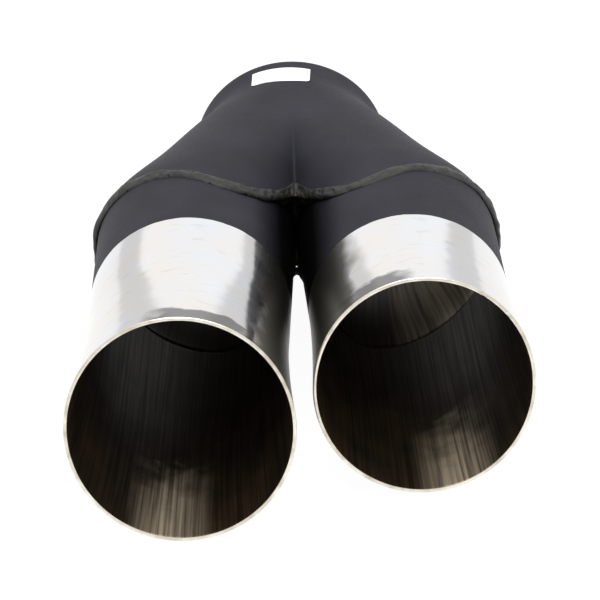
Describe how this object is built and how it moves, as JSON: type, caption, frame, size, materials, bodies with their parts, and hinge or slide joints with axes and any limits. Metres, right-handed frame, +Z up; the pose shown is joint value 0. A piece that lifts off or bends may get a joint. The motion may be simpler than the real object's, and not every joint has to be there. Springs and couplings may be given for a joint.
{
  "type": "exhaust y-pipe",
  "caption": "Exhaust Y-pipe: a round inlet socket, a pressed body painted dark grey, and two belled outlet tubes with polished ends, welded together.",
  "frame": {"origin": "centre of the inlet socket's mouth", "axes": "+Y out of the inlet along the socket's axis, +Z up, the outlets face -Y"},
  "size_m": [0.175, 0.2524, 0.0857],
  "materials": {
    "body_paint": "satin dark grey heat paint, fine grain",
    "polished_steel": "polished bright stainless steel in front, painted dark grey next to the weld",
    "weld_bead": "lumpy weld bead under thin paint"
  },
  "bodies": {
    "root": {"y_body": "body_paint", "outlet_left": "polished_steel", "outlet_right": "polished_steel", "outlet_weld": "weld_bead"}
  },
  "joints": []
}
